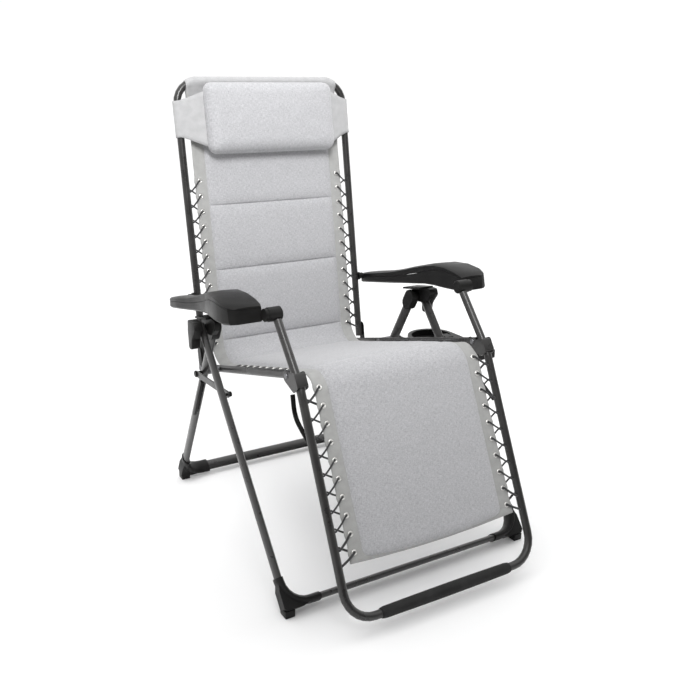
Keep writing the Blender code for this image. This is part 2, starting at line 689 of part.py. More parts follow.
def lock_lever(word, side):
    """Recline lock: a short head under the slide plate and a handle that hangs outside the front leg."""
    y, z = LEVER_PIVOT
    outline = [(y + 0.006, z + 0.0140), (y - 0.034, z + 0.0140), (y - 0.040, z - 0.002), (y - 0.028, z - 0.017),
               (y - 0.018, z - 0.030), (y - 0.013, z - 0.057), (y + 0.006, z - 0.057), (y + 0.009, z - 0.014)]
    inner = FRONT_LEG_X + LEG_TUBE_R + 0.0012
    lever = side_plate(f"lock_lever_{word}", outline, inner, inner + 0.0205, side, rounding=0.0065)
    softened = lever.modifiers.new("rounding", "BEVEL")
    softened.width = 0.0025
    softened.segments = 2
    return finish(lever, "black_plastic")


def turned_recess(name, place, floor, radius):
    """Round cutter that opens upward from a floor height."""
    build = bmesh.new()
    bmesh.ops.create_cone(build, cap_ends=True, segments=32, radius1=radius - 0.003, radius2=radius, depth=0.05)
    bmesh.ops.translate(build, vec=(*place, floor + 0.025), verts=build.verts)
    mesh = bpy.data.meshes.new(name)
    build.to_mesh(mesh)
    build.free()
    cutter = bpy.data.objects.new(name, mesh)
    PARTS.objects.link(cutter)
    return cutter


def side_tray():
    """Tray outside the left front leg: a shallow dish and a round cup recess, on a hooked arm."""
    low, high = 0.376, 0.396
    inner, flared, outer = 0.3480, 0.3320, 0.4700
    middle, round_r = (flared + outer) / 2, (outer - flared) / 2
    rear_y = 0.130 - round_r
    outline = [(flared, rear_y), (flared, 0.030), (inner, -0.010), (inner, -0.144), (inner + 0.006, -0.150),
               (outer - 0.006, -0.150), (outer, -0.144), (outer, rear_y)]
    for step in range(1, 16):
        angle = math.pi * step / 16
        outline.append((middle + round_r * math.cos(angle), rear_y + round_r * math.sin(angle)))
    tray = slab("side_tray", outline, low, high)
    dish = box_between("side_tray_dish", (inner + 0.006, -0.143, low + 0.004), (outer - 0.006, 0.000, high + 0.02),
                       0.004)
    cup = turned_recess("side_tray_cup_recess", (middle, rear_y), low + 0.003, 0.0600)
    leg_face = FRONT_LEG_X + LEG_TUBE_R + GAP
    upright = Matrix.Rotation(math.pi / 2, 4, "X")
    hook = slab("side_tray_hook", [(leg_face, 0.424), (leg_face, 0.444), (inner + 0.0045, 0.444),
                                   (inner + 0.0045, low + 0.009), (inner - 0.001, low + 0.009),
                                   (inner - 0.001, 0.424)], 0.078, 0.106, upright)
    boolean(tray, hook, "UNION")
    boolean(tray, dish)
    boolean(tray, cup)
    return finish(tray, "black_plastic")


def pivot(name, place, objects, parent):
    """An empty on a joint's X axis that carries the objects turning about it."""
    empty = bpy.data.objects.new(name, None)
    empty.empty_display_size = 0.03
    PARTS.objects.link(empty)
    empty.matrix_world = Matrix.Translation((0, *place))
    bpy.context.view_layer.update()
    for obj in objects:
        carry(obj, empty)
    carry(empty, parent)
    return empty


def carry(child, parent):
    """Parent without moving the child."""
    child.parent = parent
    child.matrix_parent_inverse = parent.matrix_world.inverted()


def build_chair():
    """Make every piece in the chair's own frame, hang it on its pivot, then set the chair on the origin."""
    chair = bpy.data.objects.new("chair_centre", None)
    PARTS.objects.link(chair)
    for obj in rear_assembly():
        carry(obj, chair)
    front = pivot("pivot_fold", HUB, front_assembly() + [side_tray()], chair)
    seat = pivot("pivot_seat", SEAT_PIVOT, seat_unit(), chair)
    back = pivot("pivot_back", HIP_PIVOT, back_unit(), seat)
    pivot("pivot_headrest", HEADREST, headrest(), back)
    pivot("pivot_leg_rest", KNEE_PIVOT, leg_rest_unit(), seat)
    for word, side in SIDES.items():
        pivot(f"pivot_stay_{word}", STAY_PIVOT, stay(word, side), front)
        pivot(f"pivot_armrest_{word}", ARM_REAR_PIVOT, armrest(word, side), back)
        carriage = pivot(f"pivot_carriage_{word}", HUB, [arm_carriage(word, side)], chair)
        pivot(f"pivot_lever_{word}", LEVER_PIVOT, [lock_lever(word, side)], carriage)
    for cutter in CUTTERS.objects:
        carry(cutter, chair)
    chair.location = (CHAIR_X, CHAIR_Y, 0)


clear_scene()
PARTS = collection("zero_gravity_chair")
CUTTERS = collection("cutters")
build_chair()
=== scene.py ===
"""Looks of the padded zero-gravity chair: fabric, lacing, mouldings and materials round its frame."""
import json
import math

import bmesh
import bpy
from mathutils import Matrix, Vector, noise


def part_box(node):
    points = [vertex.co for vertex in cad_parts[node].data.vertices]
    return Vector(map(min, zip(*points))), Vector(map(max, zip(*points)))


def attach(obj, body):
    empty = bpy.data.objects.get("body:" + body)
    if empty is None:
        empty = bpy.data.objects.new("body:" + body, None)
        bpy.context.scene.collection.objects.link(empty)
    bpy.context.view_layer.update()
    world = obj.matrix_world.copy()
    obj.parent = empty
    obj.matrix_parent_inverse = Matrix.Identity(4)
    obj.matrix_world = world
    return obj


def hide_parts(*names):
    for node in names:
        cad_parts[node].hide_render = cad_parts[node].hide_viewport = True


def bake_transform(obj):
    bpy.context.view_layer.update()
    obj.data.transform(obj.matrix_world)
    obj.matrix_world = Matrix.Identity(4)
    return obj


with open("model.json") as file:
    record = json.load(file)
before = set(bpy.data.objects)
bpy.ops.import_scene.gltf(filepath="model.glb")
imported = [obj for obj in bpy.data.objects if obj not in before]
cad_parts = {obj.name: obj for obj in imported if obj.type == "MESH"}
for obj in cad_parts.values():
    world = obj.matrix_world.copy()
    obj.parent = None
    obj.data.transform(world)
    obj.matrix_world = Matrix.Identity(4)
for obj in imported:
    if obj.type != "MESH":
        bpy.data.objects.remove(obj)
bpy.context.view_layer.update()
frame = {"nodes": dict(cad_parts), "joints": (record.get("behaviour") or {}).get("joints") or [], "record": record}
NODES = frame["nodes"]
JOINTS = {joint["name"]: joint for joint in frame["joints"]}
SLOT_OF = {part["node"]: part["material_slot"] for part in frame["record"]["subparts"]}
SIDES = {"left": 1, "right": -1}

# Places in the side view, (y, z), and the chair's centre line. All lengths are in metres.
CENTRE_X = JOINTS["back_tilt"]["pos_m"][0]
HIP = Vector(JOINTS["back_tilt"]["pos_m"][1:])
KNEE = Vector(JOINTS["leg_rest_lift"]["pos_m"][1:])
BACK_UP = Vector(JOINTS["headrest_slide"]["axis"][1:]).normalized()
TO_SITTER = Vector((-BACK_UP.y, BACK_UP.x))
SEAT_ON = (KNEE - HIP).normalized()
LEG_DOWN = Vector((-0.4132, -0.9106)).normalized()
FOOT_BAR = sum((Vector(corner[1:]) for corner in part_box("foot_bar_sleeve")), Vector((0, 0))) / 2

# Frame tubes: half widths to the tube's middle, radii, the top bar's height and its corner bends
BACK_X = 0.243
LEG_X = 0.2482
RAIL_X = 0.2435
TUBE_R = 0.0095
RAIL_R = 0.008
BACK_FRAME = 0.7427
FRAME_BEND = 0.055

# Sling across: half widths of the padding, the whole cloth and the top hem
PAD_HALF = 0.186
CLOTH_HALF = 0.2190
HEM_HALF = 0.2180
HEM_DEPTH = 0.046

# Sling along its own middle: ends and bends, then how its foot end is shaped
BACK_LENGTH = 0.7405
LEG_ABOVE_BAR = 0.4968
LEG_END = 0.381
HIP_BEND = 0.060
KNEE_BEND = 0.052
LEG_BOW = 0.008
BOW_REACH = 0.12
FOOT_CORNER = 0.018
FOOT_SOFT = 0.024

# Padding: top end, seams up the back, seams forward of the hip and short of the knee, mesh row
PAD_TOP = 0.048
BACK_SEAM_REACHES = (0.427, 0.256, 0.066)
HIP_SEAM_REACH = 0.050
HIP_SEAM_RISE = 0.018
KNEE_SEAM_SHORT = 0.058
ROW = 0.0055
SEAM_ROWS = (-0.0045, -0.003, -0.0018, -0.0008, 0.0, 0.0008, 0.0018, 0.003, 0.0045)
# For the front face and the back face: fullness, the share of it left in a seam, and a seam's reach
PADDING = {1: (0.0145, 0.34, 0.034), -1: (0.0080, 0.40, 0.028)}

# Lacing: eyelets from the centre line, cord radius, first eyelet of each run, and the steps between
EYELET_X = 0.2050
CORD_R = 0.0021
BACK_FIRST, BACK_EYELETS = 0.061, 12
SEAT_FIRST, SEAT_EYELETS = 0.168, 9
LEG_FIRST, LEG_EYELETS = 0.008, 10
PITCH = 0.0392
LEG_PITCH = 0.0390

# Headrest: height of its middle, then the pillow's half size, corner, soft edge and fullness
HEADREST_AT = 0.647
PILLOW_W, PILLOW_H = 0.184, 0.090
PILLOW_CORNER = 0.024
PILLOW_SOFT = 0.034
PILLOW_PROUD = 0.032
PILLOW_DEPTH = {1: 0.041, -1: 0.016}

# Foot bar grip and the bosses' collars
GRIP_HALF = 0.172
COLLAR_R = 0.0145

# Studio light: world brightness to the front, to the sides and overhead, then the lamps in watts
WORLD_FRONT = 0.02
WORLD_SIDE = 1.02
WORLD_TOP = 1.75
KEY_POWER = 9
SIDE_POWER = 6

# Camera, in metres and millimetres
CAMERA_AT = (-1.0405, -1.7038, 1.0934)
CAMERA_TARGET = (0.0312, 0.1279, 0.4167)
SENSOR = 36
LENS = 42.83


# ---- materials --------------------------------------------------------------------------------------

def node(tree, kind, settings=None, **values):
    """A shader node with its properties and unlinked inputs set."""
    made = tree.nodes.new(kind)
    for key, value in (settings or {}).items():
        setattr(made, key, value)
    for key, value in values.items():
        made.inputs[key.replace("_", " ")].default_value = value
    return made


def shader(name, color, roughness, metallic=0.0, **sockets):
    """A Principled material, with its tree and shader."""
    material = bpy.data.materials.new(name)
    material.use_nodes = True
    tree = material.node_tree
    principled = tree.nodes["Principled BSDF"]
    principled.inputs["Base Color"].default_value = (*color, 1)
    principled.inputs["Roughness"].default_value = roughness
    principled.inputs["Metallic"].default_value = metallic
    for key, value in sockets.items():
        principled.inputs[key.replace("_", " ")].default_value = value
    return material, tree, principled


def place(tree, source, scale=(1, 1, 1)):
    """Coordinates for a pattern: object space, or the cloth's own crosswise and lengthwise metres."""
    mapping = node(tree, "ShaderNodeMapping", Scale=scale)
    if source == "cloth":
        run = node(tree, "ShaderNodeAttribute", {"attribute_name": "cloth"})
        tree.links.new(run.outputs["Vector"], mapping.inputs["Vector"])
    else:
        run = node(tree, "ShaderNodeTexCoord")
        tree.links.new(run.outputs["Object"], mapping.inputs["Vector"])
    return mapping.outputs["Vector"]


def grain(tree, vector, scale, detail=2.0, rough=0.5):
    """Noise pattern."""
    made = node(tree, "ShaderNodeTexNoise", Scale=scale, Detail=detail, Roughness=rough)
    tree.links.new(vector, made.inputs["Vector"])
    return made.outputs["Fac"]


def math_node(tree, operation, first, second=None):
    """Arithmetic on sockets or numbers."""
    made = node(tree, "ShaderNodeMath", {"operation": operation})
    for number, value in enumerate((first, second)):
        if value is None:
            continue
        if isinstance(value, (int, float)):
            made.inputs[number].default_value = value
        else:
            tree.links.new(value, made.inputs[number])
    return made.outputs[0]


def plus(tree, first, second):
    """Sum of two values."""
    return math_node(tree, "ADD", first, second)


def times(tree, first, second):
    """Product of two values."""
    return math_node(tree, "MULTIPLY", first, second)


def spread(tree, value, low, high, to_low, to_high):
    """A value's range carried onto another range."""
    made = node(tree, "ShaderNodeMapRange", From_Min=low, From_Max=high, To_Min=to_low, To_Max=to_high)
    tree.links.new(value, made.inputs["Value"])
    return made.outputs["Result"]


def tint(color, share):
    """A lighter or darker colour."""
    return tuple(share * part for part in color)


def ramp(tree, value, stops):
    """Colours along a value."""
    made = node(tree, "ShaderNodeValToRGB")
    band = made.color_ramp
    while len(band.elements) < len(stops):
        band.elements.new(0.5)
    for element, (position, color) in zip(band.elements, stops):
        element.position = position
        element.color = (*color, 1)
    tree.links.new(value, made.inputs["Fac"])
    return made.outputs["Color"]


def bump(tree, principled, height, distance, strength=1.0):
    """Height onto the shader's normal, over any bump already there."""
    made = node(tree, "ShaderNodeBump", Strength=strength, Distance=distance)
    tree.links.new(height, made.inputs["Height"])
    normal = principled.inputs["Normal"]
    if normal.is_linked:
        tree.links.new(normal.links[0].from_socket, made.inputs["Normal"])
    tree.links.new(made.outputs["Normal"], normal)


def threads(tree, vector, per_metre, axis):
    """Rounded yarns that lie side by side along one axis."""
    split = node(tree, "ShaderNodeSeparateXYZ")
    tree.links.new(vector, split.inputs[0])
    return math_node(tree, "SINE", times(tree, split.outputs[axis], per_metre * math.tau))


def weave(tree, vector, per_metre):
    """Plain weave height: yarns of the two directions that pass over and under each other."""
    warp = threads(tree, vector, per_metre, 0)
    weft = threads(tree, vector, per_metre, 1)
    over = threads(tree, vector, per_metre / 2, 0)
    under = threads(tree, vector, per_metre / 2, 1)
    crossing = times(tree, times(tree, over, under), 0.8)
    return plus(tree, crossing, times(tree, plus(tree, warp, weft), 0.35))


def melange(light):
    """Light-grey heather cloth: yarn streaks both ways, a few dark and white fibres, and a soft weave."""
    material, tree, principled = shader("melange_fabric", (0.5, 0.5, 0.52), 0.92, Sheen_Weight=0.25,
                                        Sheen_Roughness=0.6, Specular_IOR_Level=0.25)
    vector = place(tree, "cloth")
    lengthwise = grain(tree, place(tree, "cloth", (1, 0.16, 0.16)), 760, 2.0, 0.65)
    crosswise = grain(tree, place(tree, "cloth", (0.16, 1, 1)), 760, 2.0, 0.65)
    flecks = grain(tree, vector, 1100, 1.0)
    patches = grain(tree, vector, 34, 2.0)
    mixed = plus(tree, plus(tree, lengthwise, crosswise),
                 plus(tree, times(tree, flecks, 0.6), times(tree, patches, 0.12)))
    low, high = tint((0.375, 0.375, 0.39), light), tint((0.67, 0.67, 0.69), light)
    middle = tuple((a + b) / 2 for a, b in zip(low, high))
    color = ramp(tree, spread(tree, mixed, 1.05, 1.67, 0.0, 1.0), [(0.0, low), (0.5, middle), (1.0, high)])
    tree.links.new(color, principled.inputs["Base Color"])
    tree.links.new(spread(tree, flecks, 0.3, 0.7, 0.84, 0.97), principled.inputs["Roughness"])
    bump(tree, principled, weave(tree, vector, 620), 0.00035, 0.5)
    bump(tree, principled, mixed, 0.0006, 0.45)
    return material


def plain_cloth(name, color):
    """Close plain-woven polyester, a little warmer and smoother than the padded face."""
    material, tree, principled = shader(name, color, 0.85, Sheen_Weight=0.15, Sheen_Roughness=0.5,
                                        Specular_IOR_Level=0.3)
    vector = place(tree, "cloth")
    patches = grain(tree, vector, 60, 3.0)
    yarn = grain(tree, vector, 900, 1.0)
    shade = spread(tree, plus(tree, times(tree, patches, 0.5), times(tree, yarn, 0.5)), 0.35, 0.65, 0, 1)
    tree.links.new(ramp(tree, shade, [(0.0, tint(color, 0.90)), (1.0, tint(color, 1.10))]),
                   principled.inputs["Base Color"])
    bump(tree, principled, weave(tree, vector, 800), 0.00025, 0.5)
    return material


def powder_coat():
    """Charcoal powder coat on steel tube: fine orange peel, faint fleck, slightly worn sheen."""
    material, tree, principled = shader("powder_coat", (0.022, 0.021, 0.021), 0.28, Coat_Weight=0.10,
                                        Coat_Roughness=0.35)
    vector = place(tree, "object")
    peel = grain(tree, vector, 700, 2.0)
    fleck = grain(tree, vector, 2600, 1.0)
    wear = grain(tree, vector, 28, 3.0)
    tree.links.new(ramp(tree, plus(tree, times(tree, wear, 0.55), times(tree, fleck, 0.45)),
                        [(0.35, (0.016, 0.015, 0.015)), (0.65, (0.028, 0.027, 0.026))]),
                   principled.inputs["Base Color"])
    tree.links.new(spread(tree, wear, 0.3, 0.7, 0.25, 0.36), principled.inputs["Roughness"])
    bump(tree, principled, peel, 0.0006, 0.25)
    return material


def moulded(name, color, roughness, pebble=900, depth=0.25):
    """Moulded plastic or foam with a fine grain and rubbed patches."""
    material, tree, principled = shader(name, color, roughness, Specular_IOR_Level=0.16)
    vector = place(tree, "object")
    texture = grain(tree, vector, pebble, 3.0, 0.6)
    rubbed = grain(tree, vector, 22, 3.0)
    tree.links.new(ramp(tree, rubbed, [(0.35, tint(color, 0.8)), (0.65, tint(color, 1.3))]),
                   principled.inputs["Base Color"])
    tree.links.new(spread(tree, rubbed, 0.3, 0.7, roughness - 0.06, roughness + 0.08),
                   principled.inputs["Roughness"])
    bump(tree, principled, texture, 0.0005, depth)
    return material


def metal(name, color, roughness):
    """Plated steel with fine drawn marks."""
    material, tree, principled = shader(name, color, roughness, 1.0)
    marks = grain(tree, place(tree, "object", (1, 12, 12)), 160, 3.0)
    tree.links.new(spread(tree, marks, 0.3, 0.7, roughness - 0.08, roughness + 0.1),
                   principled.inputs["Roughness"])
    tree.links.new(ramp(tree, marks, [(0.3, tint(color, 0.8)), (0.7, color)]),
                   principled.inputs["Base Color"])
    bump(tree, principled, marks, 0.0002, 0.2)
    return material


def braid():
    """Black braided elastic."""
    material, tree, principled = shader("black_cord", (0.018, 0.018, 0.019), 0.7, Sheen_Weight=0.3,
                                        Sheen_Roughness=0.5)
    twist = node(tree, "ShaderNodeTexWave", {"wave_type": "BANDS", "bands_direction": "DIAGONAL"},
                 Scale=260.0, Distortion=0.6, Detail=1.0)
    tree.links.new(place(tree, "cloth"), twist.inputs["Vector"])
    height = twist.outputs["Fac"]
    tree.links.new(ramp(tree, height, [(0.2, (0.010, 0.010, 0.011)), (0.8, (0.032, 0.032, 0.034))]),
                   principled.inputs["Base Color"])
    bump(tree, principled, height, 0.0004, 0.7)
    return material


MATERIALS = {
    "powder_coat": powder_coat(),
    "black_plastic": moulded("black_plastic", (0.009, 0.0088, 0.0086), 0.38),
    "grey_steel": metal("grey_steel", (0.22, 0.22, 0.23), 0.38),
    "black_foam": moulded("black_foam", (0.020, 0.020, 0.020), 0.62, 1500, 0.5),
    "black_cord": braid(),
    "melange_fabric": melange(0.77),
    "plain_fabric": plain_cloth("plain_fabric", (0.355, 0.355, 0.348)),
    "band_fabric": plain_cloth("band_fabric", (0.40, 0.40, 0.405)),
    "eyelet_nickel": metal("eyelet_nickel", (0.93, 0.92, 0.89), 0.30),
}


def dress_frame():
    """Finer shading and a real material on every node of the frame."""
    for name, obj in NODES.items():
        obj.data.materials.clear()
        obj.data.materials.append(MATERIALS[SLOT_OF[name]])
        if "custom_normal" in obj.data.attributes:
            obj.data.attributes.remove(obj.data.attributes["custom_normal"])
        obj.data.polygons.foreach_set("use_smooth", [True] * len(obj.data.polygons))
        weld = obj.modifiers.new("weld", "WELD")
        weld.merge_threshold = 0.00002
        split = obj.modifiers.new("edges", "EDGE_SPLIT")
        split.split_angle = math.radians(36)


# ---- mesh helpers -----------------------------------------------------------------------------------

def finish_mesh(name, build, kind, crease=None):
    """Smooth object from a bmesh, with one material and any crease angle in degrees."""
    bmesh.ops.recalc_face_normals(build, faces=build.faces)
    mesh = bpy.data.meshes.new(name)
    build.to_mesh(mesh)
    build.free()
    mesh.shade_smooth()
    if crease is not None:
        mesh.set_sharp_from_angle(angle=math.radians(crease))
    obj = bpy.data.objects.new(name, mesh)
    bpy.context.scene.collection.objects.link(obj)
    mesh.materials.append(MATERIALS[kind])
    return obj


def cloth_layer(build):
    """The cloth's own coordinates, in metres."""
    return build.verts.layers.float_vector.new("cloth")


def rounded(corners, radii):
    """Side-view points through the corners, the inner ones rounded."""
    path = [corners[0]]
    for before, corner, after, radius in zip(corners, corners[1:], corners[2:], radii):
        back, onward = (before - corner).normalized(), (after - corner).normalized()
        half = back.angle(onward) / 2
        centre = corner + (back + onward).normalized() * (radius / math.sin(half))
        first = corner + back * (radius / math.tan(half)) - centre
        last = corner + onward * (radius / math.tan(half)) - centre
        turn = first.angle(last)
        count = max(6, int(turn * radius / 0.004))
        for number in range(count + 1):
            part = number / count
            blend = first * math.sin((1 - part) * turn) + last * math.sin(part * turn)
            path.append(centre + blend / math.sin(turn))
    path.append(corners[-1])
    return path


class Run:
    """A side-view line walked by length, with the sitter's side known all along."""

    def __init__(self, points):
        self.points = points
        self.at = [0.0]
        for before, after in zip(points, points[1:]):
            self.at.append(self.at[-1] + (after - before).length)
        self.length = self.at[-1]

    def point(self, distance):
        """Place on the line, carried straight on past its ends."""
        last = len(self.points) - 2
        for number in range(last + 1):
            if distance <= self.at[number + 1] or number == last:
                start, end = self.points[number], self.points[number + 1]
                return start + (end - start) * ((distance - self.at[number]) / (end - start).length)

    def normal(self, distance):
        """Unit vector to the sitter's side."""
        way = (self.point(distance + 0.004) - self.point(distance - 0.004)).normalized()
        return Vector((way.y, -way.x))

    def world(self, x, distance, proud=0.0):
        """World place of a spot across, along and proud of the line."""
        spot = self.point(distance) + self.normal(distance) * proud
        return Vector((CENTRE_X + x, spot.x, spot.y))

    def nearest(self, target):
        """Distance along the line of the point nearest a side-view place."""
        steps = range(int(self.length / 0.001))
        return min(steps, key=lambda step: (self.point(step * 0.001) - target).length) * 0.001


def skin(build, rings):
    """Close a run of equal rings into one solid."""
    for first, second in zip(rings, rings[1:]):
        for number in range(len(first)):
            onward = (number + 1) % len(first)
            build.faces.new((first[number], first[onward], second[onward], second[number]))
    build.faces.new(rings[0])
    build.faces.new(rings[-1])


def sheet_faces(build, grid):
    """Faces over a grid of points."""
    for first, second in zip(grid, grid[1:]):
        for number in range(len(first) - 1):
            build.faces.new((first[number], first[number + 1], second[number + 1], second[number]))


def tube_mesh(build, path, radius, sides, layer):
    """Skin a tube along world points, its radius a number or a function of the part travelled."""
    last = len(path) - 1
    side = None
    rings = []
    travelled = 0.0
    for number, spot in enumerate(path):
        way = (path[min(number + 1, last)] - path[max(number - 1, 0)]).normalized()
        if side is None:
            side = way.orthogonal().normalized()
        side = (side - way * side.dot(way)).normalized()
        other = way.cross(side)
        travelled += (spot - path[number - 1]).length if number else 0.0
        size = radius(number / last) if callable(radius) else radius
        ring = []
        for step in range(sides):
            angle = math.tau * step / sides
            vert = build.verts.new(spot + (side * math.cos(angle) + other * math.sin(angle)) * size)
            vert[layer] = (angle * size, travelled, 0)
            ring.append(vert)
        rings.append(ring)
    skin(build, rings)


def flowing(points, per_span=5):
    """Catmull-Rom points through the given ones."""
    ends = [points[0] * 2 - points[1], *points, points[-1] * 2 - points[-2]]
    path = []
    for a, b, c, d in zip(ends, ends[1:], ends[2:], ends[3:]):
        for step in range(per_span):
            t = step / per_span
            path.append(0.5 * ((2 * b) + (c - a) * t + (2 * a - 5 * b + 4 * c - d) * t ** 2
                               + (3 * b - a - 3 * c + d) * t ** 3))
    path.append(points[-1])
    return path


# ---- sling ------------------------------------------------------------------------------------------

BACK_TOP = HIP + BACK_UP * BACK_LENGTH
LEG_TOP = FOOT_BAR - LEG_DOWN * LEG_ABOVE_BAR
across = Matrix(((SEAT_ON.x, -LEG_DOWN.x), (SEAT_ON.y, -LEG_DOWN.y))).inverted() @ (LEG_TOP - HIP)
KNEE_CORNER = HIP + SEAT_ON * across.x
LEG_FOOT = LEG_TOP + LEG_DOWN * LEG_END
SLING = Run(rounded([BACK_TOP, HIP, KNEE_CORNER, LEG_FOOT], [HIP_BEND, KNEE_BEND]))

BACK_SEAMS = [SLING.nearest(HIP + BACK_UP * reach) for reach in BACK_SEAM_REACHES]
HIP_SEAM = SLING.nearest(HIP + SEAT_ON * HIP_SEAM_REACH + Vector((0, HIP_SEAM_RISE)))
KNEE_SEAM = SLING.nearest(KNEE_CORNER - SEAT_ON * KNEE_SEAM_SHORT)


def swell(distance, seams, reach):
    """How full the padding is at a distance along, from 0 in a seam to 1 in mid channel."""
    near = min(abs(distance - seam) for seam in seams)
    part = min(1.0, near / reach)
    return math.sqrt(max(0.0, 1 - (1 - part) ** 2.2))


def rows_between(start, end, seams):
    """Distances along a piece, closer together near its seams."""
    spots = {round(start, 5), round(end, 5)}
    count = max(2, int((end - start) / ROW))
    spots.update(round(start + (end - start) * number / count, 5) for number in range(count + 1))
    for seam in seams:
        spots.update(round(seam + offset, 5) for offset in SEAM_ROWS if start < seam + offset < end)
    ordered = sorted(spots)
    kept = [ordered[0]]
    for spot in ordered[1:]:
        if spot - kept[-1] > 0.0006:
            kept.append(spot)
    kept[-1] = ordered[-1]
    return kept


def panel_spot(part, distance, face, end, seams, sewn, bowed):
    """Across, along and proud of one spot of a padded panel's skin; part runs from -1 to 1 across."""
    fullness, groove, reach = PADDING[face]
    full = swell(distance, seams + sewn, reach)
    edge = math.sqrt(max(0.0, 1 - abs(part) ** 9))
    crown = 0.86 + 0.14 * (1 - part * part)
    ripple = noise.noise(Vector((part * 3.1 + 7 * face, distance * 14, 3.3))) * 0.0016
    pucker = noise.noise(Vector((part * 16, distance * 9, 9.1 * face))) * 0.0014
    near = min([abs(distance - seam) for seam in seams] or [1.0])
    tuck = math.exp(-near / 0.014)
    depth = fullness * edge * crown * (groove + (1 - groove) * full)
    half = PAD_HALF
    along = distance
    if bowed:
        left = max(0.0, end - distance)
        if left < FOOT_SOFT:
            depth *= 0.12 + 0.88 * math.sqrt(max(0.0, 1 - (1 - left / FOOT_SOFT) ** 2))
        if left < FOOT_CORNER:
            half -= FOOT_CORNER - math.sqrt(FOOT_CORNER ** 2 - (FOOT_CORNER - left) ** 2)
        along += LEG_BOW * (1 - part * part) * max(0.0, 1 - left / BOW_REACH)
    return part * half, along, face * depth + (ripple * full + pucker * tuck) * edge


def padded_panel(name, start, end, seams, sewn, bowed=False):
    """Padded cloth between two distances: crowned channels between sewn seams, soft rounded long edges."""
    build = bmesh.new()
    cloth = cloth_layer(build)
    columns = [-1 + 2 * number / 56 for number in range(57)]
    columns = [math.copysign(abs(part) ** 0.86, part) for part in columns]
    rows = rows_between(start, end, seams)
    grids = []
    for face in (1, -1):
        grid = []
        for distance in rows:
            line = []
            for part in columns:
                x, along, proud = panel_spot(part, distance, face, end, seams, sewn, bowed)
                vert = build.verts.new(SLING.world(x, along, proud))
                vert[cloth] = (x, along, 0)
                line.append(vert)
            grid.append(line)
        grids.append(grid)
    for grid in grids:
        sheet_faces(build, grid)
    top, under = grids
    for number in range(len(rows) - 1):
        for column in (0, -1):
            build.faces.new((top[number][column], top[number + 1][column], under[number + 1][column],
                             under[number][column]))
    for row in (0, -1):
        sheet_faces(build, [top[row], under[row]])
    return finish_mesh(name, build, "melange_fabric", crease=60)


def border(name, start, end, eyelets):
    """Both plain side borders, of double cloth with a folded edge that the lacing draws out a little."""
    build = bmesh.new()
    cloth = cloth_layer(build)
    for side in (1, -1):
        rings = []
        for distance in rows_between(start, end, []):
            nearest = min(abs(distance - spot) for spot in eyelets)
            edge = CLOTH_HALF - 0.0016 + 0.0022 * math.exp(-(nearest / 0.008) ** 2)
            lift = 0.0007 * math.sin(distance * 90 + side)
            profile = [(PAD_HALF - 0.006, 0.0012), (PAD_HALF + 0.004, 0.0014), (PAD_HALF + 0.012, 0.0012),
                       (edge - 0.008, 0.0012), (edge - 0.003, 0.0017), (edge - 0.0006, 0.0012), (edge, 0.0),
                       (edge - 0.0006, -0.0012), (edge - 0.003, -0.0017), (edge - 0.008, -0.0012),
                       (PAD_HALF - 0.006, -0.0012)]
            ring = []
            for x, proud in profile:
                proud += lift * (x - PAD_HALF) / 0.03
                vert = build.verts.new(SLING.world(side * x, distance, proud))
                vert[cloth] = (side * x, distance, 0)
                ring.append(vert)
            rings.append(ring)
        skin(build, rings)
    return finish_mesh(name, build, "plain_fabric", crease=70)


def foot_hem():
    """Narrow folded hem across the foot end of the leg panel, bowed a little at its middle."""
    build = bmesh.new()
    cloth = cloth_layer(build)
    rings = []
    for number in range(61):
        x = (CLOTH_HALF - 0.0010) * (-1 + number / 30)
        bow = LEG_BOW * (1 - (x / CLOTH_HALF) ** 2)
        wave = 0.0006 * math.sin(x * 70)
        ring = []
        for along, proud in ((-0.020, 0.0012), (-0.008, 0.0018), (-0.002, 0.0022), (0.0, 0.0),
                             (-0.002, -0.0022), (-0.008, -0.0018), (-0.020, -0.0012)):
            at = SLING.length + along + bow * (1 + along / BOW_REACH)
            vert = build.verts.new(SLING.world(x, at, proud + wave))
            vert[cloth] = (x, at, 0)
            ring.append(vert)
        rings.append(ring)
    skin(build, rings)
    return finish_mesh("sling_hem_leg", build, "plain_fabric")


def back_place(x, reach, proud):
    """World place on the back: across, up from the hip, and out to the sitter."""
    spot = HIP + BACK_UP * reach + TO_SITTER * proud
    return Vector((CENTRE_X + x, spot.x, spot.y))


def top_hem():
    """Full-width cloth below the top bar, turned over the bar in a sewn sleeve."""
    build = bmesh.new()
    cloth = cloth_layer(build)
    sleeve = TUBE_R + 0.0034
    fall = [(-HEM_DEPTH, 0.0016), (-0.030, 0.0020), (-0.019, 0.0035), (-0.011, 0.0085)]
    turns = [math.radians(-12 + 20.4 * step) for step in range(11)]
    profile = fall + [(sleeve * math.sin(angle), sleeve * math.cos(angle)) for angle in turns]
    profile += [(along, -proud) for along, proud in reversed(fall)]
    rings = []
    for number in range(65):
        x = HEM_HALF * (-1 + number / 32)
        beyond = max(0.0, abs(x) - (BACK_X - FRAME_BEND))
        drop = FRAME_BEND - math.sqrt(FRAME_BEND ** 2 - beyond ** 2)
        ring = []
        for along, proud in profile:
            crease = noise.noise(Vector((x * 60, along * 30, 2.0))) * 0.0007
            fade = max(0.0, min(1.0, 1 + along / HEM_DEPTH))
            vert = build.verts.new(back_place(x, BACK_FRAME + along - drop * fade, proud + crease))
            vert[cloth] = (x, along + proud, 0)
            ring.append(vert)
        rings.append(ring)
    skin(build, rings)
    return finish_mesh("sling_hem_top", build, "band_fabric")


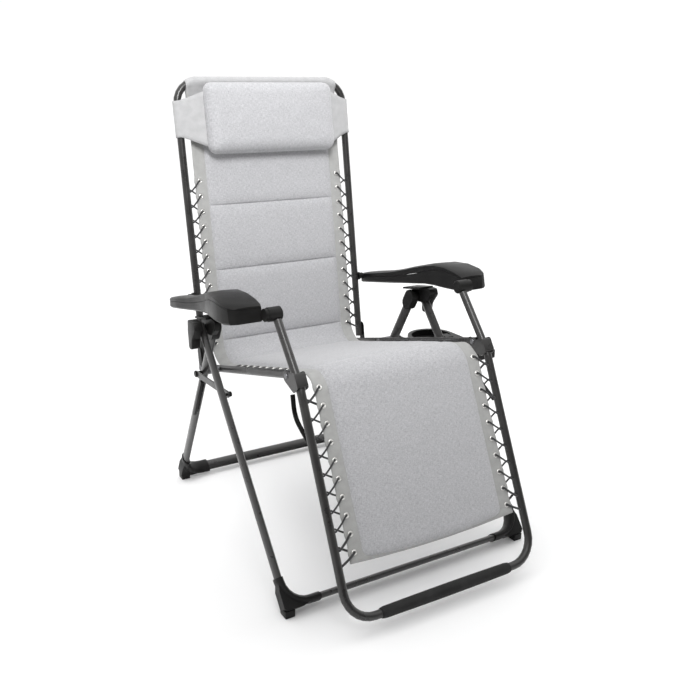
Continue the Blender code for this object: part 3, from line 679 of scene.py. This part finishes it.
def eyelet_rings(name, spots):
    """Pressed metal eyelets in the borders, a flared ring on each face."""
    build = bmesh.new()
    cloth = cloth_layer(build)
    profile = [(0.0028, 0.0016), (0.0036, 0.0031), (0.0052, 0.0032), (0.0066, 0.0018), (0.0062, 0.0008),
               (0.0062, -0.0008), (0.0066, -0.0016), (0.0052, -0.0028), (0.0036, -0.0028), (0.0028, -0.0014)]
    flat = Vector((1, 0, 0))
    for distance in spots:
        for side in (1, -1):
            centre = SLING.world(side * EYELET_X, distance)
            up = Vector((0, *SLING.normal(distance)))
            other = up.cross(flat)
            rings = []
            for step in range(18):
                angle = math.tau * step / 18
                out = flat * math.cos(angle) + other * math.sin(angle)
                ring = []
                for radius, height in profile:
                    vert = build.verts.new(centre + out * radius + up * height)
                    vert[cloth] = (radius, angle * radius, height)
                    ring.append(vert)
                rings.append(ring)
            for first, second in zip(rings, rings[1:] + rings[:1]):
                for step in range(len(profile)):
                    onward = (step + 1) % len(profile)
                    build.faces.new((first[step], first[onward], second[onward], second[step]))
    return finish_mesh(name, build, "eyelet_nickel")


def lacing(word, body, spots, tube_x, tube_r, doubled=()):
    """Elastic cord from each eyelet to the tube's inner face and back under to the next one, both sides."""
    build = bmesh.new()
    cloth = cloth_layer(build)
    face = tube_x - tube_r
    middle = (EYELET_X + face) / 2
    strand = [(EYELET_X, 0.0, -0.0030), (EYELET_X, 0.0, 0.0018), (EYELET_X + 0.0040, 0.05, 0.0040),
              (middle, 0.36, 0.0045), (face - 0.0015, 0.66, 0.0040), (face + 0.0020, 0.64, 0.0012),
              (face + 0.0020, 0.56, -0.0012), (face - 0.0015, 0.53, -0.0040), (middle, 0.76, -0.0060),
              (EYELET_X + 0.0035, 0.96, -0.0050), (EYELET_X, 1.0, -0.0030)]
    tail = [(EYELET_X, 0.0, -0.0030), (EYELET_X, 0.0, 0.0018), (EYELET_X + 0.0040, 0.002, 0.0042),
            (middle, 0.010, 0.0048), (face - 0.0015, 0.018, 0.0040), (face + 0.0020, 0.020, 0.0005)]
    for side in (1, -1):
        for number, (start, end) in enumerate(zip(spots, spots[1:])):
            path = [SLING.world(side * x, start + (end - start) * way, proud) for x, way, proud in strand]
            tube_mesh(build, flowing(path), CORD_R * (1.25 if number in doubled else 1.0), 8, cloth)
        path = [SLING.world(side * x, spots[-1] + way, proud) for x, way, proud in tail]
        tube_mesh(build, flowing(path), CORD_R * 1.3, 8, cloth)
    obj = finish_mesh(f"lacing_{word}", build, "black_cord")
    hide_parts(f"{word}_lacing_left", f"{word}_lacing_right")
    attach(obj, body)


def build_sling():
    """Padding, borders, eyelets and lacing of the whole sling."""
    back_reaches = [BACK_FIRST + PITCH * number for number in range(BACK_EYELETS)]
    back_spots = sorted(SLING.nearest(HIP + BACK_UP * reach) for reach in back_reaches)
    seat_offset = SLING.nearest(HIP + SEAT_ON * SEAT_FIRST)
    seat_spots = [seat_offset + PITCH * number for number in range(SEAT_EYELETS)]
    leg_offset = SLING.nearest(LEG_TOP + LEG_DOWN * LEG_FIRST)
    leg_spots = [leg_offset + LEG_PITCH * number for number in range(LEG_EYELETS)]
    # No eyelet sits across the seam where the two panels meet
    clear = 0.007

    upper = padded_panel("sling_back_seat", PAD_TOP, KNEE_SEAM, BACK_SEAMS + [HIP_SEAM], [KNEE_SEAM])
    lower = padded_panel("sling_leg", KNEE_SEAM, SLING.length - 0.0035, [], [KNEE_SEAM], bowed=True)
    upper_edge = border("sling_border_back_seat", 0.016, KNEE_SEAM - 0.0002, back_spots + seat_spots)
    lower_edge = border("sling_border_leg", KNEE_SEAM + 0.0002, SLING.length, leg_spots)
    foot_cloth = foot_hem()
    top_cloth = top_hem()
    upper_rings = eyelet_rings("eyelets_back_seat",
                               back_spots + [spot for spot in seat_spots if spot < KNEE_SEAM - clear])
    lower_rings = eyelet_rings("eyelets_leg", [spot for spot in leg_spots if spot > KNEE_SEAM + clear])
    lacing("back", "back", back_spots, BACK_X, TUBE_R, doubled=(10,))
    lacing("seat", "seat", seat_spots, RAIL_X, RAIL_R)
    lacing("leg", "leg_rest", leg_spots, LEG_X, TUBE_R, doubled=(0, 8))

    for obj in (upper, upper_edge, upper_rings):
        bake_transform(obj)
    for obj in (lower, lower_edge, lower_rings):
        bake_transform(obj)
    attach(foot_cloth, "leg_rest")
    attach(top_cloth, "back")
    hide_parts("back_pad", "seat_pad")
    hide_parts("leg_pad")


# ---- headrest, foot bar and bosses -------------------------------------------------------------------

def pillow_point(u, v, face):
    """Spot on the pillow's skin from a square grid place: rounded corners, boxy edges, crowned front."""
    corner = PILLOW_CORNER
    over = [max(0.0, abs(value) * half - (half - corner)) for value, half in ((u, PILLOW_W), (v, PILLOW_H))]
    pulled = [over[0] * math.sqrt(max(0.0, 1 - (over[1] / corner) ** 2 / 2)),
              over[1] * math.sqrt(max(0.0, 1 - (over[0] / corner) ** 2 / 2))]
    x = math.copysign(min(abs(u) * PILLOW_W, PILLOW_W - corner) + pulled[0], u)
    y = math.copysign(min(abs(v) * PILLOW_H, PILLOW_H - corner) + pulled[1], v)
    inside = corner - math.hypot(*pulled) if max(over) > 0 else min(PILLOW_W - abs(x), PILLOW_H - abs(y))
    part = min(1.0, inside / PILLOW_SOFT)
    full = math.sqrt(max(0.0, 1 - (1 - part) ** 2.4))
    crown = 0.80 + 0.20 * (1 - u * u) * (1 - v * v)
    crumple = noise.noise(Vector((x * 26, y * 34, face * 4.0))) * 0.0016 * full
    return x, y, PILLOW_PROUD + face * (PILLOW_DEPTH[face] * full * crown) + crumple


def headrest_pillow():
    """Filled headrest pillow on the upper back."""
    build = bmesh.new()
    cloth = cloth_layer(build)
    wide, high = 56, 32
    for face in (1, -1):
        grid = []
        for row in range(high + 1):
            line = []
            for column in range(wide + 1):
                u, v = -1 + 2 * column / wide, -1 + 2 * row / high
                u, v = (math.copysign(abs(part) ** 0.8, part) for part in (u, v))
                x, y, proud = pillow_point(u, v, face)
                vert = build.verts.new(back_place(x, HEADREST_AT + y, proud))
                vert[cloth] = (x, y + 2.0, 0)
                line.append(vert)
            grid.append(line)
        sheet_faces(build, grid)
    bmesh.ops.remove_doubles(build, verts=build.verts, dist=0.00002)
    pillow = finish_mesh("headrest_cushion", build, "melange_fabric")
    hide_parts("headrest_pillow")
    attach(pillow, "headrest")


def headrest_straps():
    """Cloth strap at each side of the pillow, taken round the back tube and behind the sling."""
    build = bmesh.new()
    cloth = cloth_layer(build)
    loop = TUBE_R + 0.0020
    # Across, out to the sitter, and how far the strap has narrowed
    stations = [(0.160, 0.034, 0), (0.176, 0.034, 0), (0.192, 0.030, 0.25), (0.208, 0.024, 0.5),
                (0.224, 0.0175, 0.75)]
    for step in range(12):
        angle = math.radians(82 - 15.2 * step)
        stations.append((BACK_X + loop * math.cos(angle), loop * math.sin(angle), 1))
    stations += [(0.222, -0.0150, 1), (0.198, -0.0155, 1), (0.165, -0.0150, 1)]
    last = len(stations) - 1
    for side in (1, -1):
        rings = []
        for number, (x, proud, taper) in enumerate(stations):
            low, high = -0.074 + 0.031 * taper, 0.070 - 0.022 * taper
            before, after = stations[max(number - 1, 0)], stations[min(number + 1, last)]
            way = Vector((after[0] - before[0], after[1] - before[1])).normalized()
            out = Vector((-way.y, way.x)) * 0.0007
            ring = []
            for face, count in ((1, range(13)), (-1, reversed(range(13)))):
                for step in count:
                    v = low + (high - low) * step / 12
                    fold = 0.0009 * math.sin(v * 150 + x * 60) * (1 - taper * 0.6)
                    fat = 1.7 if step in (0, 12) else 1.0
                    spot = back_place(side * (x + face * out.x * fat), HEADREST_AT + v,
                                      proud + fold + face * out.y * fat)
                    vert = build.verts.new(spot)
                    vert[cloth] = (side * x, v, 0)
                    ring.append(vert)
            rings.append(ring)
        skin(build, rings)
    straps = finish_mesh("headrest_straps", build, "band_fabric")
    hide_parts("headrest_band")
    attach(straps, "headrest")


def foot_sleeve():
    """Foam grip on the foot bar, cut square at its ends and a little fuller in the middle."""
    build = bmesh.new()
    layer = cloth_layer(build)
    path = [Vector((CENTRE_X - GRIP_HALF + 2 * GRIP_HALF * number / 40, *FOOT_BAR)) for number in range(41)]

    def radius(part):
        end = min(part, 1 - part)
        return TUBE_R + 0.0018 + 0.0014 * min(1.0, end / 0.012) + 0.0012 * math.sin(math.pi * part)

    tube_mesh(build, path, radius, 20, layer)
    grip = finish_mesh("foot_grip", build, "black_foam", crease=50)
    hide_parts("foot_bar_sleeve")
    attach(grip, "leg_rest")


def boss_collars():
    """Collar on each leg-rest boss that runs up to the armrest's nose."""
    low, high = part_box("arm_front_boss_left")
    y, z = ((low[axis] + high[axis]) / 2 for axis in (1, 2))
    reach = abs(high[0] - CENTRE_X)
    for word, side in SIDES.items():
        build = bmesh.new()
        layer = cloth_layer(build)
        path = [Vector((CENTRE_X + side * (reach + past), y, z)) for past in (-0.004, 0.002, 0.008)]
        tube_mesh(build, path, COLLAR_R, 24, layer)
        collar = finish_mesh(f"boss_collar_{word}", build, "black_plastic", crease=50)
        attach(collar, "leg_rest")


# ---- stage ------------------------------------------------------------------------------------------

def area_light(name, place_at, look_at, size, power, spread_angle):
    """A soft box."""
    data = bpy.data.lights.new(name, "AREA")
    data.shape = "RECTANGLE"
    data.size, data.size_y = size
    data.energy = power
    data.spread = math.radians(spread_angle)
    obj = bpy.data.objects.new(name, data)
    obj.location = place_at
    obj.rotation_euler = (Vector(look_at) - Vector(place_at)).to_track_quat("-Z", "Y").to_euler()
    bpy.context.scene.collection.objects.link(obj)


def pale_floor():
    """Wide near-white floor."""
    build = bmesh.new()
    bmesh.ops.create_grid(build, x_segments=1, y_segments=1, size=60)
    mesh = bpy.data.meshes.new("floor")
    build.to_mesh(mesh)
    build.free()
    floor = bpy.data.objects.new("floor", mesh)
    floor.location = (0, 0, -0.0005)
    material, tree, principled = shader("floor", (0.95, 0.95, 0.95), 0.8)
    cloudy = grain(tree, place(tree, "object"), 0.4)
    tree.links.new(ramp(tree, cloudy, [(0.3, (0.945, 0.945, 0.945)), (0.7, (0.955, 0.955, 0.955))]),
                   principled.inputs["Base Color"])
    mesh.materials.append(material)
    bpy.context.scene.collection.objects.link(floor)


def studio():
    """Floor, soft light and the camera."""
    pale_floor()
    world = bpy.data.worlds.new("studio")
    world.use_nodes = True
    tree = world.node_tree
    background = tree.nodes["Background"]
    background.inputs["Color"].default_value = (1, 1, 1, 1)
    way = node(tree, "ShaderNodeTexCoord")
    split = node(tree, "ShaderNodeSeparateXYZ")
    tree.links.new(way.outputs["Generated"], split.inputs[0])
    ahead = spread(tree, split.outputs[1], -0.9, 0.1, WORLD_FRONT, WORLD_SIDE)
    above = spread(tree, split.outputs[2], 0.25, 1.0, 0.0, WORLD_TOP - WORLD_SIDE)
    tree.links.new(plus(tree, ahead, above), background.inputs["Strength"])
    bpy.context.scene.world = world
    area_light("key", (-0.7, -1.5, 2.35), (-0.03, 0.4, 1.06), (0.9, 0.9), KEY_POWER, 62)
    area_light("side", (3.0, 0.4, 1.6), (0, 0, 0.5), (1.2, 2.2), SIDE_POWER, 180)

    camera_data = bpy.data.cameras.new("camera")
    camera_data.sensor_width = SENSOR
    camera_data.lens = LENS
    camera = bpy.data.objects.new("camera", camera_data)
    camera.location = CAMERA_AT
    camera.rotation_euler = (Vector(CAMERA_TARGET) - camera.location).to_track_quat("-Z", "Y").to_euler()
    bpy.context.scene.collection.objects.link(camera)
    bpy.context.scene.camera = camera
    bpy.context.scene.view_settings.view_transform = "Standard"


dress_frame()
build_sling()
headrest_pillow()
headrest_straps()
foot_sleeve()
boss_collars()
studio()
